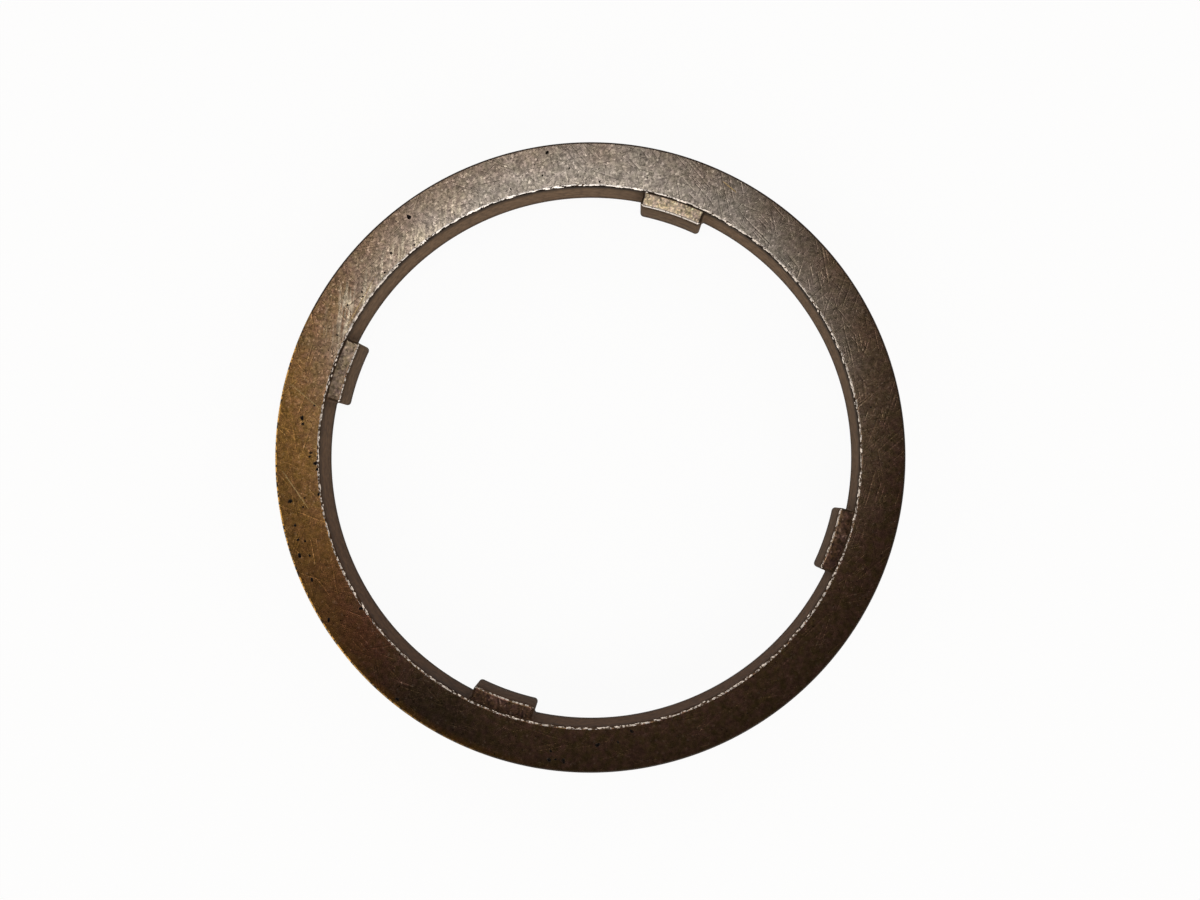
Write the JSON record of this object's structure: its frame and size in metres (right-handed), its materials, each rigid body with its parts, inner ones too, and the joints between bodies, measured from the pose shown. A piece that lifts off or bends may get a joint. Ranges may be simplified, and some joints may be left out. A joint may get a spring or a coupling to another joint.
{
  "type": "synchronizer ring",
  "caption": "Flat steel gearbox ring with driving lugs that stand into its bore and slide in the slots of a hub, and ground faces that bear on the parts beside it.",
  "frame": {"origin": "centre of the ring, on its lower face", "axes": "+Z along the ring's axis from the lower face to the upper face, +X through the middle of one lug"},
  "size_m": [0.098, 0.098, 0.0075],
  "materials": {
    "steel": "dull ground steel with a thin brown oil and oxide film, small pits and burnished edges"
  },
  "bodies": {
    "root": {"synchronizer_ring": "steel"}
  },
  "joints": []
}
